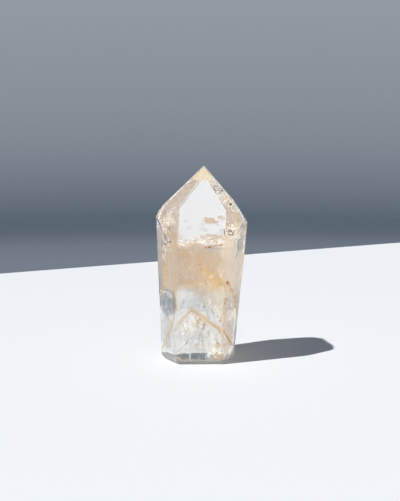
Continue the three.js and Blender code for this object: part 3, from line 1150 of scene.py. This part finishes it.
def soft_lamp(name, azimuth, elevation, distance, size, watts):
    """A square soft lamp that points at the tower."""
    data = bpy.data.lights.new(name, "AREA")
    data.shape = "SQUARE"
    data.size = size
    data.energy = watts
    lamp = bpy.data.objects.new(name, data)
    away = outward(azimuth, elevation)
    lamp.location = LOOK_AT + away * distance
    lamp.rotation_euler = away.to_track_quat("Z", "Y").to_euler()
    bpy.context.scene.collection.objects.link(lamp)


def key_lamp(azimuth, elevation, strength, spread):
    """The key light, far off, which throws the tower's shadow."""
    data = bpy.data.lights.new("key", "SUN")
    data.energy = strength
    data.angle = math.radians(spread)
    lamp = bpy.data.objects.new("key", data)
    lamp.rotation_euler = outward(azimuth, elevation).to_track_quat("Z", "Y").to_euler()
    bpy.context.scene.collection.objects.link(lamp)


# Height of the view, as the sine of its angle above level, and the backdrop's colour there.
BACKDROP = (
    (-1.000, (0.80, 0.81, 0.82)),
    (-0.450, (0.80, 0.81, 0.82)),
    (-0.300, (0.24, 0.27, 0.32)),
    (-0.196, (0.178, 0.209, 0.254)),
    (-0.182, (0.144, 0.175, 0.220)),
    (-0.1785, (0.095, 0.120, 0.155)),
    (-0.176, (0.080, 0.103, 0.140)),
    (-0.173, (0.098, 0.127, 0.165)),
    (-0.161, (0.136, 0.165, 0.209)),
    (-0.131, (0.212, 0.242, 0.283)),
    (-0.101, (0.250, 0.278, 0.320)),
    (-0.046, (0.292, 0.323, 0.371)),
    (0.100, (0.27, 0.32, 0.39)),
    (0.400, (0.075, 0.092, 0.122)),
    (1.000, (0.065, 0.082, 0.112)),
)
WALL_GRAIN = 0.5


def backdrop_world():
    """Grey-blue wall with a fine grain, darker towards its foot, the same all round."""
    world = bpy.data.worlds.new("studio")
    world.use_nodes = True
    tree = world.node_tree
    tree.nodes.clear()
    where = add_node(tree, "ShaderNodeTexCoord")
    split = add_node(tree, "ShaderNodeSeparateXYZ", {"Vector": where.outputs["Generated"]})
    share = maths(tree, "MULTIPLY_ADD", split.outputs["Z"], 0.5, 0.5)
    ramp = add_node(tree, "ShaderNodeValToRGB", {"Fac": share})
    grain = add_node(tree, "ShaderNodeTexWhiteNoise", {"Vector": where.outputs["Generated"]})
    level = maths(
        tree, "MULTIPLY_ADD", grain.outputs["Value"], WALL_GRAIN, 1 - WALL_GRAIN / 2
    )
    light = add_node(
        tree, "ShaderNodeBackground", {"Color": ramp.outputs["Color"], "Strength": level}
    )
    out = add_node(tree, "ShaderNodeOutputWorld")
    tree.links.new(light.outputs["Background"], out.inputs["Surface"])
    stops = ramp.color_ramp.elements
    while len(stops) < len(BACKDROP):
        stops.new(1.0)
    for stop, (height, color) in zip(stops, BACKDROP):
        stop.position = (height + 1) / 2
        stop.color = (*color, 1)
    bpy.context.scene.world = world


class QUARTZ_OT_set_stage(bpy.types.Operator):
    """Sets the camera, the pale floor, the lamps and the backdrop"""

    bl_idname = "quartz_tower.set_stage"
    bl_label = "Set Stage"

    def execute(self, context):
        settings = context.scene.quartz_tower_stage
        studio_camera(settings)
        plain_floor(settings)
        key_lamp(azimuth=206.5, elevation=54, strength=3.5, spread=1.0)
        soft_lamp("window", azimuth=274, elevation=55, distance=1.0, size=0.45, watts=0.7)
        backdrop_world()
        scene = context.scene
        scene.view_settings.view_transform = "Standard"
        scene.cycles.max_bounces = 32
        scene.cycles.transmission_bounces = 24
        scene.cycles.transparent_max_bounces = 700
        scene.cycles.diffuse_bounces = 4
        scene.cycles.glossy_bounces = 12
        scene.cycles.sample_clamp_indirect = 2.0
        scene.cycles.use_denoising = True
        return {"FINISHED"}


class QUARTZ_PT_tower(bpy.types.Panel):
    """Lists the steps that make the tower"""

    bl_idname = "QUARTZ_PT_tower"
    bl_label = "Quartz Tower"
    bl_space_type = "VIEW_3D"
    bl_region_type = "UI"
    bl_category = "Quartz Tower"

    def draw(self, context):
        layout = self.layout
        for step in STEPS:
            layout.operator(step.bl_idname)
        for group in GROUPS:
            box = layout.box()
            settings = getattr(context.scene, group)
            for name in settings.__annotations__:
                box.prop(settings, name)


STEPS = (
    QUARTZ_OT_make_stone,
    QUARTZ_OT_make_clouds,
    QUARTZ_OT_make_phantoms,
    QUARTZ_OT_make_patches,
    QUARTZ_OT_make_minerals,
    QUARTZ_OT_set_stage,
)
GROUPS = {
    "quartz_tower_stone": QuartzTowerStone,
    "quartz_tower_growth": QuartzTowerGrowth,
    "quartz_tower_stage": QuartzTowerStage,
}
CLASSES = tuple(GROUPS.values()) + STEPS + (QUARTZ_PT_tower,)


def register():
    for cls in CLASSES:
        bpy.utils.register_class(cls)
    for name, group in GROUPS.items():
        setattr(bpy.types.Scene, name, bpy.props.PointerProperty(type=group))


def unregister():
    for name in GROUPS:
        delattr(bpy.types.Scene, name)
    for cls in reversed(CLASSES):
        bpy.utils.unregister_class(cls)


def main():
    register()
    bpy.ops.quartz_tower.make_stone()
    bpy.ops.quartz_tower.make_clouds()
    bpy.ops.quartz_tower.make_phantoms()
    bpy.ops.quartz_tower.make_patches()
    bpy.ops.quartz_tower.make_minerals()
    bpy.ops.quartz_tower.set_stage()


if __name__ == "__main__":
    main()
